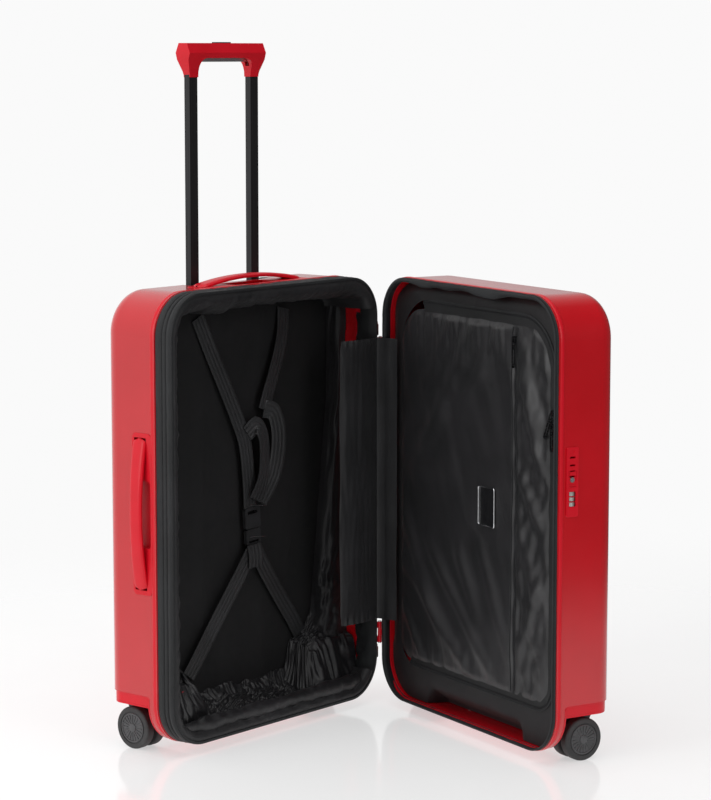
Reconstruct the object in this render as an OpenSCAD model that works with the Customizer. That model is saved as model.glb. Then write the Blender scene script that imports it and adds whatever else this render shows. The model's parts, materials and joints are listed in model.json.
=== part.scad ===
// Hard shell suitcase on four twin casters, standing open like a book.
// Each half is modelled in half coordinates: X runs from the spine to the lock side,
// Y is the depth behind the main zip's plane, and Z is up from the floor.

/* [Case] */
// Width of each half, over the rim bead
case_w = 460; // [450:1:470]
// Height of each half, over the rim bead
case_h = 650; // [645:1:660]
// Gap between the floor and the bottom of the case
floor_gap = 14; // [12:1:16]
// Radius of the outline's corners
corner_r = 62; // [58:1:66]
// Radius between the side walls and the big outer face
edge_r = 24; // [20:1:26]
// Wall thickness of the hard shells
wall = 2.5; // [2:0.1:3]
// Depth of each hard shell
shell_depth = 99; // [97:1:104]
// Depth of the back half's soft gusset, which carries two zips
gusset_depth = 33; // [30:1:36]
// Depth of the front half's zip tape
tape_depth = 7; // [6:1:9]
// Angle between the two halves as modelled
open_angle = 70; // [60:1:80]

/* [Telescopic handle] */
// Height of the top of the grip above the floor, pulled out
grip_top = 1011; // [1000:1:1020]
// Width of the grip
grip_w = 166; // [160:1:168]
// Distance between the two poles
pole_spacing = 132.5; // [130:0.5:135]
// Width of a pole
pole_w = 17; // [16:0.5:18]
// Depth of a pole
pole_d = 10; // [9:0.5:10.5]

/* [Carry handles] */
// Length of the top and side carry handles
handle_len = 218; // [210:1:222]
// Width of the carry handles
handle_w = 24; // [22:1:25]
// How far the handles arch out from the wall
handle_rise = 13.5; // [12:0.5:15]

/* [Wheels] */
// Radius of the wheels
wheel_r = 31; // [30:0.5:31]
// Width of one wheel of a twin pair
wheel_w = 14.5; // [13:0.5:15]
// Distance from the swivel axis to the axle
trail = 12; // [10:1:13]

/* [Lock] */
// Length of the lock plate
lock_len = 98; // [96:1:100]
// Width of the lock plate
lock_w = 20; // [19:0.5:21]

/* [Hidden] */
$fn = 64;

red = [0.78, 0.06, 0.09];
black = [0.10, 0.10, 0.11];
cloth = [0.16, 0.16, 0.17];
steel = [0.72, 0.73, 0.75];

// Places the model's origin at the middle of its footprint
to_origin = [193, 166, 0];
// The case hinge's axis is this far outside the spine walls
hinge_gap = 4;
// The rim bead stands proud of the wall by this much
bead = 1;
bead_w = 8;
inner = bead + wall;
mid_z = floor_gap + case_h / 2;
top_z = floor_gap + case_h;
back_face = gusset_depth + shell_depth;
front_face = tape_depth + shell_depth;
fit = 0.05;
gap = 0.4;

// ---- frames of the two halves ----
module back_half() translate(to_origin) translate([-hinge_gap, 0, 0]) mirror([1, 0, 0]) children();
module front_half()
    translate(to_origin) rotate([0, 0, open_angle])
        translate([-hinge_gap, 0, 0]) mirror([1, 0, 0]) mirror([0, 1, 0]) children();

// ---- shapes that repeat ----
module rounded_rect(w, h, r) {
    square([w - 2 * r, h], center = true);
    square([w, h - 2 * r], center = true);
    for (x = [-1, 1], y = [-1, 1])
        translate([x * (w / 2 - r), y * (h / 2 - r)]) circle(r);
}

// A flat plate in the XZ plane, whose thickness runs along +Y
module plate(w, h, r, t) rotate([-90, 0, 0]) linear_extrude(t) rounded_rect(w, h, r);

// Sweeps a profile round a rounded rectangle: profile X is outward, profile Y is depth
module around(w, h, r) {
    for (side = [0, 1]) {
        mirror([side, 0, 0]) translate([w / 2, 0, r - h / 2]) linear_extrude(h - 2 * r) children();
        mirror([0, 0, side]) translate([w / 2 - r, 0, h / 2])
            rotate([0, -90, 0]) linear_extrude(w - 2 * r) children();
        for (end = [0, 1])
            mirror([side, 0, 0]) mirror([0, 0, end]) translate([w / 2 - r, 0, r - h / 2])
                rotate([-90, 0, 0]) rotate_extrude(angle = 90) translate([r, 0]) children();
    }
}

module around_case() translate([case_w / 2, 0, mid_z]) around(case_w, case_h, corner_r) children();
module band(inset, thickness, y0, y1)
    around_case() translate([-inset - thickness, y0]) square([thickness, y1 - y0]);
// Extrudes a profile drawn in depth and height along X
module along_x(x0, x1) translate([x0, 0, 0]) rotate([90, 0, 90]) linear_extrude(x1 - x0) children();
module box(x, y, z) translate([x[0], y[0], z[0]]) cube([x[1] - x[0], y[1] - y[0], z[1] - z[0]]);
module both_sides() for (side = [0, 1]) translate([side * case_w, 0, 0]) mirror([side, 0, 0]) children();

// ---- hard shells ----
module wall_profile(y0, y1, inset) {
    edge_y = y1 - edge_r;
    translate([-inset - wall, y0]) square([wall, edge_y - y0]);
    translate([-inset - edge_r, edge_y]) intersection() {
        difference() {
            circle(edge_r);
            circle(edge_r - wall);
        }
        square(edge_r + 1);
    }
}

module hard_shell(y0, y1, inset = bead) {
    around_case() wall_profile(y0, y1, inset);
    flat = 2 * (inset + edge_r);
    translate([case_w / 2, y1 - wall, mid_z])
        plate(case_w - flat, case_h - flat, corner_r - inset - edge_r, wall);
}

// ---- wheel housings: the two bottom corners of each half are cut away for the casters ----
notch_w = 92;
notch_top = 87;
notch_r = 5;
ceiling_z = 70;
module notch_side(y0, y1, grow) {
    translate([y0 - grow, -1]) square([y1 + 2 - y0, notch_top - notch_r + 1]);
    translate([y0 + notch_r - grow, 0]) square([y1 + 2 - y0, notch_top + grow]);
    translate([y0 + notch_r - grow, notch_top - notch_r + grow]) circle(notch_r);
}
module notches(y0, y1) both_sides() along_x(-2, notch_w) notch_side(y0, y1, 0);

housing_t = 2.5;
module housing_plan(y0, y1) {
    inset = bead + wall / 2;
    turn = edge_r - wall / 2;
    translate([inset, y0]) square([notch_w - gap - inset, y1 - inset - turn - y0]);
    translate([inset + turn, y0]) square([notch_w - gap - inset - turn, y1 - wall / 2 - y0]);
    translate([inset + turn, y1 - wall / 2 - turn]) circle(turn);
}

module wheel_housings(y0, y1, pin_y) {
    step = 1.6;
    y_in = y0 + gap;
    both_sides() difference() {
        union() {
            // the coloured outer skin, stepped in from the shell's wall
            intersection() {
                hard_shell(y0 - 2, y1 - step, bead + step);
                along_x(-2, notch_w - gap) notch_side(y_in, y1, 0);
                box([-2, notch_w], [y_in, y1], [ceiling_z, notch_top - gap]);
            }
            translate([0, 0, ceiling_z]) linear_extrude(housing_t) housing_plan(y_in, y1 - step);
            // the pocket's inner walls, closed against the case's inside
            intersection() {
                translate([case_w / 2, y_in, mid_z])
                    plate(case_w - 2 * bead, case_h - 2 * bead, corner_r - bead, y1 - wall - gap - y_in);
                union() {
                    box([0, notch_w - gap], [y_in, y_in + housing_t], [0, notch_top - notch_r]);
                    box([notch_w - gap - housing_t, notch_w - gap], [y_in, y1], [0, notch_top - notch_r]);
                }
            }
            translate([swivel_x, pin_y, ceiling_z]) cylinder(r = 11, h = 16);
        }
        translate([swivel_x, pin_y, 0]) cylinder(r = pin_r + fit, h = notch_top + 4);
    }
}

// ---- places ----
swivel_x = 37;
pin_r = 5;
back_notch = 63;
front_notch = 57.5;
back_swivel_y = 112;
front_swivel_y = 79.5;
handle_y = 62;
side_handle_z = 350;
pole_y = 110;
lock_y = 30;
lock_z = 406;
module on_top() translate([case_w / 2, handle_y, top_z - bead]) children();
module on_side() translate([case_w - bead, handle_y, side_handle_z]) rotate([0, 90, 0]) children();
module on_lock() translate([case_w - bead, lock_y, lock_z]) rotate([0, 90, 0]) children();

module back_shell() color(red) back_half() {
    difference() {
        hard_shell(gusset_depth, back_face);
        notches(back_swivel_y - back_notch, back_face);
        // openings for the telescopic handle's cup and the two carry handle trays
        box([cup_x0 - gap, cup_x1 + gap], [cup_y0 - gap, cup_y1 + gap], [top_z - 60, top_z + 2]);
        on_top() tray_opening();
        on_side() tray_opening();
    }
    around_case() translate([-inner, gusset_depth]) square([inner, bead_w]);
}

module back_gusset() color(cloth) back_half() {
    band(1.5, 4, 3.2, gusset_depth - 0.4);
    band(inner + 0.15, 1.85, gusset_depth - 0.4, gusset_depth + 8);
}

// A zip that lets the gusset grow, closed here
module expansion_zip() color(black) back_half() {
    for (y = [13, 20]) band(0.5, 1, y - 0.6, y + 0.6);
    band(0.8, 0.7, 15, 18);
}

module main_zip_back() color(black) back_half() band(1, 3.5, 0.3, 3.2);

// ---- back lining: a soft tray with covers over the wheel housings ----
lining_in = 18;
lining_t = 1.5;
lining_back = 91;
well_w = notch_w + 3;
well_top = notch_top + 5;
module lining_tray(y0, y_back, well_y) {
    difference() {
        union() {
            band(lining_in, lining_t, y0, y_back);
            translate([case_w / 2, y_back, mid_z])
                plate(case_w - 2 * lining_in, case_h - 2 * lining_in, corner_r - lining_in, lining_t);
        }
        both_sides() box([-5, well_w - lining_t], [well_y, y_back + 9], [0, well_top - lining_t]);
    }
    both_sides() {
        box([lining_in, well_w], [well_y, y_back + lining_t], [well_top - lining_t, well_top]);
        box([well_w - lining_t, well_w], [well_y, y_back + lining_t],
            [floor_gap + lining_in, well_top]);
    }
}
module back_lining() color(cloth) back_half() {
    well_y = back_swivel_y - back_notch - 3;
    lining_tray(30, lining_back, well_y);
    both_sides() box([lining_in + 6, well_w], [well_y - lining_t, well_y],
        [floor_gap + lining_in + 1, well_top]);
    // the gathered elastic hem round the tray's mouth
    band(9, lining_in + lining_t - 9, 25, 30);
}

// ---- telescopic handle ----
cup_x0 = case_w / 2 - 88;
cup_x1 = case_w / 2 + 88;
cup_y0 = pole_y - 16.5;
cup_y1 = pole_y + 16.5;
cup_floor = top_z - 36;
cup_t = 1.5;
tube_wall = 1.4;
pole_play = 0.3;
pole_foot_z = 380;
leg_z = grip_top - 49;
module at_poles()
    for (side = [-1, 1]) translate([case_w / 2 + side * pole_spacing / 2, pole_y, 0]) children();
module bar(w, d, z0, z1) translate([-w / 2, -d / 2, z0]) cube([w, d, z1 - z0]);

module handle_cup() color(black) back_half() difference() {
    along_x(cup_x0, cup_x1) {
        // follows the rounded edge between the top wall and the outer face
        edge_y = back_face - edge_r;
        cup_d = cup_y1 - cup_y0;
        translate([cup_y0, cup_floor - cup_t]) square([cup_d, top_z - bead - edge_r - cup_floor + cup_t]);
        intersection() {
            translate([cup_y0, top_z - edge_r - 2]) square([cup_d, edge_r + 2]);
            union() {
                translate([cup_y0 - 1, top_z - edge_r - 2])
                    square([edge_y - cup_y0 + 1, edge_r + 2 - bead]);
                translate([edge_y, top_z - bead - edge_r]) circle(edge_r);
            }
        }
    }
    box([cup_x0 + cup_t, cup_x1 - cup_t], [cup_y0 + cup_t, cup_y1 - cup_t], [cup_floor, top_z + 2]);
    at_poles() bar(pole_w + 0.8, pole_d + 0.8, cup_floor - 3, cup_floor + 1);
}

tube_foot_z = 24;
module tube_bar(z0, z1)
    bar(pole_w + 2 * (pole_play + tube_wall), pole_d + 2 * (pole_play + tube_wall), z0, z1);
module trolley_tubes() color(steel) back_half() at_poles() difference() {
    tube_bar(tube_foot_z, cup_floor - cup_t);
    bar(pole_w + 2 * pole_play, pole_d + 2 * pole_play, tube_foot_z - 1, cup_floor);
}

// The bracket that ties the tubes' feet to the bottom of the shell
module tube_foot() color(black) back_half() difference() {
    along_x(case_w / 2 - 90, case_w / 2 + 90) {
        // follows the rounded edge between the bottom wall and the outer face
        edge_y = back_face - edge_r;
        foot_z = floor_gap + inner + 0.1;
        translate([pole_y - 12, foot_z]) square([edge_y - pole_y + 12, 40 - foot_z]);
        intersection() {
            translate([edge_y, floor_gap + bead + edge_r]) circle(edge_r - wall - 0.1);
            translate([edge_y - 1, foot_z - 1]) square([pole_y + 13 - edge_y, 41 - foot_z]);
        }
    }
    at_poles() tube_bar(tube_foot_z, 41);
    box([case_w / 2 - 50, case_w / 2 + 50], [pole_y - 13, pole_y + 13], [28, 41]);
}

module poles() color(black) back_half() at_poles() difference() {
    bar(pole_w, pole_d, pole_foot_z, leg_z + 16);
    bar(pole_w - 2.6, pole_d - 2.6, pole_foot_z - 1, leg_z + 17);
}

// Plastic guides that close the poles' lower ends
module pole_shoes() color(steel) back_half() at_poles() {
    bar(pole_w + 0.3, pole_d + 0.3, pole_foot_z - 14, pole_foot_z);
    bar(pole_w - 2.6, pole_d - 2.6, pole_foot_z, pole_foot_z + 12);
}

grip_deep = 28;
grip_h = 49;
// The grip tapers in at its sides, down to its two legs
leg_in = 8.5;
leg_h = 3;
taper_h = 25;
// Height and corner radius of the hand opening
hand_h = 27.5;
hand_r = 14;
module grip_front() difference() {
    half = grip_w / 2;
    polygon([[-half, grip_h], [half, grip_h], [half, taper_h], [half - leg_in, leg_h], [half - leg_in, 0],
        [leg_in - half, 0], [leg_in - half, leg_h], [-half, taper_h]]);
    opening = pole_spacing - 19;
    translate([-opening / 2, -1]) square([opening, hand_h + 1 - hand_r]);
    translate([-opening / 2 + hand_r, -1]) square([opening - 2 * hand_r, hand_h + 1]);
    for (side = [-1, 1]) translate([side * (opening / 2 - hand_r), hand_h - hand_r]) circle(hand_r);
}
module grip_side() {
    deep = grip_deep / 2;
    polygon([[-6.2, 0], [-6.5, 8], [-deep, 35], [-8, grip_h],
        [8, grip_h], [deep, 35], [6.5, 8], [6.2, 0]]);
}
module grip() color(red) back_half() translate([case_w / 2, pole_y, leg_z]) difference() {
    intersection() {
        rotate([90, 0, 0]) linear_extrude(grip_deep + 4, center = true) grip_front();
        rotate([90, 0, 90]) linear_extrude(grip_w + 4, center = true) grip_side();
    }
    // sockets for the poles, and the space for the release bar and the button
    for (side = [-1, 1]) translate([side * pole_spacing / 2, 0, 0]) bar(pole_w, pole_d, -1, 16);
    bar(pole_spacing + 12, 7.5, 15.9, 30.5);
    bar(34, 8, 30, 50);
}

button_travel = 3;
module grip_button() color(black) back_half() translate([case_w / 2, pole_y, leg_z]) bar(33, 7.2, 38, 50.5);
module release_rods() color(steel) back_half() translate([case_w / 2, pole_y, leg_z]) {
    bar(pole_spacing + 6, 6, 22, 28);
    bar(28, 6, 28, 38);
    for (side = [-1, 1]) translate([side * pole_spacing / 2, 0, pole_foot_z - leg_z + 20])
        cylinder(r = 2, h = leg_z + 22 - pole_foot_z - 20);
}

// ---- carry handles, drawn along X with +Z pointing out of the wall ----
tray_len = handle_len + 14;
tray_w = handle_w + 12;
// The tray reaches further towards the rim, which leaves room for the fingers
tray_shift = -3;
foot_len = 14;
foot_deep = 13;
finger_len = 96;
module flat(w, h, r, z0, z1) translate([0, 0, z0]) linear_extrude(z1 - z0) rounded_rect(w, h, r);
module tray_opening() translate([0, tray_shift, 0]) flat(tray_len - 5, tray_w - 5, 5, -10, 10);
module tray() difference() {
    union() {
        translate([0, tray_shift, 0]) {
            flat(tray_len, tray_w, 7, 0.05, 0.9);
            flat(tray_len - 6, tray_w - 6, 4.5, -8, 0.9);
        }
        for (side = [-1, 1]) translate([side * (handle_len - foot_len) / 2, 0, -16])
            translate([-foot_len / 2 - 1.5, -handle_w / 2 - 1, 0]) cube([foot_len + 3, handle_w + 2, 9]);
    }
    translate([0, tray_shift, 0]) flat(finger_len, tray_w - 4, 5, -6.5, 2);
    for (side = [-1, 1]) translate([side * (handle_len - foot_len) / 2, 0, -14.5])
        translate([-foot_len / 2 - 0.3, -handle_w / 2 + 0.7, 0]) cube([foot_len + 0.6, handle_w - 1.4, 18]);
}
arch_low = 4;
half_len = handle_len / 2;
arch_r = (half_len * half_len + pow(handle_rise - arch_low, 2)) / (2 * (handle_rise - arch_low));
module carry_handle() {
    rotate([90, 0, 0]) linear_extrude(handle_w, center = true) intersection() {
        translate([0, handle_rise - arch_r]) difference() {
            circle(arch_r, $fn = 200);
            circle(arch_r - 7, $fn = 200);
        }
        translate([-half_len, 1.2]) square([handle_len, 30]);
    }
    for (side = [-1, 1]) translate([side * (handle_len - foot_len) / 2, 0, 0])
        bar(foot_len, handle_w - 2.2, -foot_deep, 4);
}
module handle_trays() color(red) back_half() {
    on_top() tray();
    on_side() tray();
}
module top_handle() color(red) back_half() on_top() carry_handle();
module side_handle() color(red) back_half() on_side() carry_handle();

// ---- hinges on the spine ----
hinge_zs = [95, 536];
hinge_len = 32;
knuckle_r = 3.2;
hinge_pin_r = 1.3;
rivet_zs = [8, 24];
middle = [10.3, 21.7];
module knuckle(z0, z1, bore) translate([-hinge_gap, 0, z0]) difference() {
    cylinder(r = knuckle_r, h = z1 - z0);
    translate([0, 0, -1]) cylinder(r = bore, h = z1 - z0 + 2);
}
module leaf(pieces, bore, far_y, rivet_y) for (z = hinge_zs) translate([0, 0, z]) difference() {
    union() {
        for (p = pieces) {
            knuckle(p[0], p[1], bore);
            box([-1.6, -0.1], [0.5, 4.3], p);
        }
        box([-1.6, -0.1], [4.2, far_y], [0, hinge_len]);
        box([-0.2, bead - 0.02], [rivet_y - 5, rivet_y + 5], [3, hinge_len - 3]);
    }
    translate([-hinge_gap, 0, -1]) cylinder(r = bore, h = hinge_len + 2);
    for (rz = rivet_zs) translate([-5, rivet_y, rz]) rotate([0, 90, 0]) cylinder(r = 2, h = 10);
}
module hinge_back_leaves() color(red) back_half()
    leaf([[0, 10], [22, hinge_len]], hinge_pin_r, gusset_depth + 25, gusset_depth + 18);
module hinge_front_leaves() color(red) front_half()
    leaf([middle], hinge_pin_r + fit + 0.01, tape_depth + 27, tape_depth + 18);
module hinge_pins() color(steel) back_half() for (z = hinge_zs) translate([-hinge_gap, 0, z]) {
    cylinder(r = hinge_pin_r, h = hinge_len);
    translate([0, 0, -1.5]) cylinder(r = 2.6, h = 1.5);
    translate([0, 0, hinge_len]) cylinder(r = 2.6, h = 1.5);
}
// Rivets through the hinge leaves, and the screws that hold the wheel housings
module fasteners(rivet_y, screw_y) {
    for (z = hinge_zs, rz = rivet_zs) translate([-2.6, rivet_y, z + rz]) rotate([0, 90, 0]) {
        cylinder(r = 3.2, h = 1);
        translate([0, 0, 1]) cylinder(r = 2, h = 2.58);
    }
    both_sides() for (x = [14, 76]) translate([x, screw_y, ceiling_z + housing_t]) {
        cylinder(r = 3.5, h = 2);
        cylinder(r = 1.6, h = 6);
    }
}
module back_fasteners() color(steel) back_half() fasteners(gusset_depth + 18, back_swivel_y - 40);
module front_fasteners() color(steel) front_half() fasteners(tape_depth + 18, front_swivel_y - 35);

// ---- casters ----
module fork(pin_y) translate([swivel_x, pin_y, 0]) {
    translate([0, 0, ceiling_z - 0.5]) cylinder(r = pin_r, h = 17);
    translate([0, 0, 63]) cylinder(r = 13, h = ceiling_z - 0.5 - 63);
    translate([-4, 0, 0]) rotate([90, 0, 90]) linear_extrude(8) {
        polygon([[-trail - 8, wheel_r], [-12, 63.5], [12, 63.5], [-trail + 8, wheel_r]]);
        translate([-trail, wheel_r]) circle(8);
    }
    translate([-18, -trail, wheel_r]) rotate([0, 90, 0]) cylinder(r = 3, h = 36);
}
module wheel_section() {
    translate([wheel_r - 3, 3]) square([3, wheel_w - 6]);
    translate([23.5, 0]) square([wheel_r - 3 - 23.5, wheel_w]);
    for (x = [3, wheel_w - 3]) translate([wheel_r - 3, x]) circle(3);
}
module twin_wheels(pin_y) translate([swivel_x, pin_y - trail, wheel_r])
    for (side = [0, 1]) mirror([side, 0, 0]) translate([4.6, 0, 0]) rotate([0, 90, 0]) {
        rotate_extrude() wheel_section();
        rotate_extrude() translate([3 + fit, 1]) square([20.4 - fit, wheel_w - 2]);
    }
module other_side() translate([case_w, 0, 0]) mirror([1, 0, 0]) children();
module fork_back_outer() color(black) back_half() other_side() fork(back_swivel_y);
module fork_back_inner() color(black) back_half() fork(back_swivel_y);
module fork_front_outer() color(black) front_half() other_side() fork(front_swivel_y);
module fork_front_inner() color(black) front_half() fork(front_swivel_y);
module wheels_back_outer() color(cloth) back_half() other_side() twin_wheels(back_swivel_y);
module wheels_back_inner() color(cloth) back_half() twin_wheels(back_swivel_y);
module wheels_front_outer() color(cloth) front_half() other_side() twin_wheels(front_swivel_y);
module wheels_front_inner() color(cloth) front_half() twin_wheels(front_swivel_y);
module back_wheel_housings() color(red) back_half()
    wheel_housings(back_swivel_y - back_notch, back_face, back_swivel_y);
module front_wheel_housings() color(red) front_half()
    wheel_housings(front_swivel_y - front_notch, front_face, front_swivel_y);

// ---- packing straps ----
strap_y = 88;
strap_t = 1.5;
strap_w = 27;
strap_step = 2;
function turned(v) = [-v[1], v[0]] / norm(v);
// A strip's edge at point i: across the run at its ends, and mitred at its bends
function across(path, i) =
    let (last = len(path) - 1)
    let (before = turned(path[max(i, 1)] - path[max(i, 1) - 1]))
    let (after = turned(path[min(i, last - 1) + 1] - path[min(i, last - 1)]))
    (before + after) / (1 + before * after);
// A strap drawn along a path of width and height points, strap_w wide
module strap(path, y) translate([0, y + strap_t, 0]) rotate([90, 0, 0]) linear_extrude(strap_t) polygon([
    for (i = [0:len(path) - 1]) path[i] + across(path, i) * strap_w / 2,
    for (i = [len(path) - 1:-1:0]) path[i] - across(path, i) * strap_w / 2
]);
buckle_at = [199, 300];
module straps() color(cloth) back_half() {
    strap([[307, 616], [216, 440], [205, 330]], strap_y);
    strap([[115, 616], [176, 474], [194, 332]], strap_y - strap_step);
    strap([[205, 262], [343, 88]], strap_y);
    strap([[192, 262], [74, 110]], strap_y - strap_step);
}
module strap_buckle() color(black) back_half() translate([buckle_at[0], strap_y - 8, buckle_at[1]])
    rotate([0, 3, 0]) {
        difference() {
            translate([0, 0, 8]) plate(34, 32, 4, 5.4);
            box([-11, 11], [-1, 7], [14, 19]);
        }
        difference() {
            translate([0, 0, -21]) plate(32, 24, 4, 5.4);
            box([-11, 11], [-1, 7], [-30, -26]);
        }
    }

// ---- spine flap: one sheet over the hinge, as a flat piece on each half ----
flap_z = [133, 568];
module spine_flap_back() color(cloth) back_half() box([6.5, 84], [2, 3.6], flap_z);
module spine_flap_front() color(cloth) front_half() translate([0, 0, flap_z[0]])
    linear_extrude(flap_z[1] - flap_z[0]) polygon([[6.5, 2], [8, 2], [25.5, 16], [24, 16]]);

// ---- front half ----
module front_shell() color(red) front_half() {
    difference() {
        hard_shell(tape_depth, front_face);
        notches(front_swivel_y - front_notch, front_face);
        on_lock() flat(lock_len - 5, lock_w - 3.4, 2, -10, 10);
    }
    around_case() translate([-inner, tape_depth]) square([inner, bead_w]);
}

module main_zip_front() color(black) front_half() {
    band(1, 3.5, 0.3, 2.8);
    band(1.5, 4, 2.8, tape_depth - 0.4);
    band(inner + 0.15, 1.85, tape_depth - 0.4, tape_depth + 7);
}

module front_lining() color(cloth) front_half() lining_tray(34, front_face - 9, 26);

// ---- zipped divider ----
div_x = [28, 430];
div_z = [78, 623];
div_y = 18;
div_r = 56;
module div_plate(grow, y0, t)
    translate([(div_x[0] + div_x[1]) / 2, y0, (div_z[0] + div_z[1]) / 2])
        plate(div_x[1] - div_x[0] + 2 * grow, div_z[1] - div_z[0] + 2 * grow, div_r + grow, t);

// The border cloth that joins the zip to the shell's wall, and the zip's coil
module divider_zip() color(black) front_half() {
    difference() {
        translate([case_w / 2, div_y, mid_z]) plate(case_w - 28, case_h - 28, corner_r - 14, 1.6);
        div_plate(1, div_y - 1, 4);
    }
    // the cloth slopes back to the shell's wall, and stays clear of the lock and the wheel housings
    difference() {
        around_case() polygon([[-16, 18], [-14, 18], [-5.7, 31], [-7.2, 31.5]]);
        translate([0, lock_y, lock_z]) box([case_w - 17, case_w], [-10, 10], [-lock_len / 2, lock_len / 2]);
        both_sides() along_x(-2, notch_w + 1) notch_side(front_swivel_y - front_notch, front_face, 1);
    }
    difference() {
        div_plate(6, div_y - 1.4, 1.4);
        div_plate(2, div_y - 2, 4);
        box([0, 60], [0, 40], [0, 700]);
    }
}

module divider_panel() color(cloth) front_half() difference() {
    div_plate(0, div_y + 0.1, 1.4);
    box([0, div_x[0] + 2], [0, 40], [0, 700]);
}
pocket_x = 337;
module pocket_zip() color(black) front_half()
    box([pocket_x - 4, pocket_x + 4], [div_y - 0.9, div_y + 0.1], [84, 614]);
patch_at = [269, 345];
module pocket_patch() color(steel) front_half() translate([patch_at[0], div_y, patch_at[1]]) difference() {
    translate([0, -1.1, 0]) plate(42, 58, 3, 1.2);
    translate([0, -2, 0]) plate(38, 54, 2, 1.2);
}

// A slider body with its bridge, centred on its zip at height z
module slider(x, y, z) {
    box([x - 3.5, x + 3.5], [y - 2.6, y], [z - 6, z + 6]);
    box([x - 0.9, x + 0.9], [y - 4.8, y - 2.5], [z - 1.6, z - 0.4]);
    box([x - 0.9, x + 0.9], [y - 4.8, y - 2.5], [z + 3.8, z + 5]);
    box([x - 0.9, x + 0.9], [y - 5.8, y - 4.7], [z - 1.6, z + 5]);
}
// A flat tab that hangs from a slider's bridge, leaning sideways by lean degrees. Its round top bar
// turns inside the bridge, and a long tab has a slot below the opening that the bridge goes through.
module pull(x, y, z, len, lean) translate([x, y - 3.7, z + 1.7]) rotate([0, lean, 0]) {
    difference() {
        translate([0, -0.6, 0.6 - len / 2]) plate(7, len, 2, 1.2);
        translate([0, -2, -3.6]) plate(4.6, 11, 1.6, 4);
        if (len > 30) translate([0, -2, -4.4 - len / 2]) plate(3, len / 2, 1, 4);
    }
    translate([-2.6, 0, 0]) rotate([0, 90, 0]) cylinder(r = 0.55, h = 5.2);
}
divider_pull_x = 434;
divider_zs = [499, 482];
lean = 25;
pull_len = 42;
slider_y = div_y - 1.6;
module divider_slider_upper() color(black) front_half() slider(divider_pull_x, slider_y, divider_zs[0]);
module divider_pull_upper() color(steel) front_half()
    pull(divider_pull_x, slider_y, divider_zs[0], pull_len, lean);
module divider_slider_lower() color(black) front_half() slider(divider_pull_x, slider_y, divider_zs[1]);
module divider_pull_lower() color(black) front_half()
    pull(divider_pull_x, slider_y, divider_zs[1], pull_len - 4, 0);
pocket_z = 594;
module pocket_slider() color(black) front_half() slider(pocket_x, div_y - 1.1, pocket_z);
module pocket_pull() color(black) front_half() pull(pocket_x, div_y - 1.1, pocket_z, pull_len, 0);

// ---- main zip sliders, parked at the spine ends of the zip, on its outer side ----
main_zs = [586, 86];
main_slider_y = 6;
main_pull_len = 18;
module on_spine(z) translate([0.8, main_slider_y, z]) rotate([0, 0, -90]) children();
module main_slider(z) on_spine(z) slider(0, 0, 0);
module main_pull(z) on_spine(z) pull(0, 0, 0, main_pull_len, 0);
module main_slider_upper() color(black) back_half() main_slider(main_zs[0]);
module main_slider_lower() color(black) back_half() main_slider(main_zs[1]);
module main_pull_upper() color(black) back_half() main_pull(main_zs[0]);
module main_pull_lower() color(black) back_half() main_pull(main_zs[1]);

// ---- lock, drawn with -X up the case and +Z out of the wall ----
dial_at = [16.5, 23.8, 31.1];
dial_r = 7;
dial_t = 5.5;
dial_depth = 5;
key_at = -3.2;
key_r = 3.6;
button_at = -12.3;
module lock_window(x, len, w, z0) translate([x - len / 2, -w / 2, z0]) cube([len, w, 30]);
module lock_body() color(red) front_half() on_lock() {
    difference() {
        union() {
            flat(lock_len, lock_w, 3, 0.05, 1.8);
            flat(lock_len - 6, lock_w - 4, 2, -14, 1.8);
        }
        // two slots that take the main zip's pulls
        for (x = [-34.7, -23.7]) lock_window(x, 2.6, 9, -8);
        // the recess with the release button and the key cylinder
        lock_window(-5.5, 19.8, 13, 0.8);
        lock_window(-11.5, 10, 9, -6);
        lock_window(6.2, 1.6, 13, 0.8);
        translate([key_at, 0, -11]) cylinder(r = key_r + fit, h = 20);
        // windows over the three dials, and the hollow behind them
        for (x = dial_at) lock_window(x, dial_t + 0.8, 11, 0);
        translate([dial_at[1] - 11.6, -7.4, -12.6]) cube([23.2, 14.8, 13.4]);
        translate([-43, 0, 1.2]) cylinder(r = 3, h = 3);
    }
    translate([dial_at[1] - 12, 0, -dial_depth]) rotate([0, 90, 0]) cylinder(r = 1.5, h = 24);
}
module lock_button() color(red) front_half() on_lock() {
    translate([button_at - 2.6, -5.8, 0.9]) cube([5.6, 11.6, 1.3]);
    translate([button_at - 1.8, -4, -4]) cube([4, 8, 5]);
}
module key_cylinder() color(steel) front_half() on_lock() translate([key_at, 0, 0]) difference() {
    translate([0, 0, -10]) cylinder(r = key_r, h = 11.6);
    rotate([0, 0, 35]) translate([-2.4, -0.5, 0]) cube([4.8, 1, 4]);
}
module dial(i) color(steel) front_half() on_lock() translate([dial_at[i] - dial_t / 2, 0, -dial_depth])
    rotate([0, 90, 0]) difference() {
        cylinder(r = dial_r, h = dial_t);
        translate([0, 0, -1]) cylinder(r = 1.5 + fit, h = dial_t + 2);
    }
module dial_1() dial(0);
module dial_2() dial(1);
module dial_3() dial(2);

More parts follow.
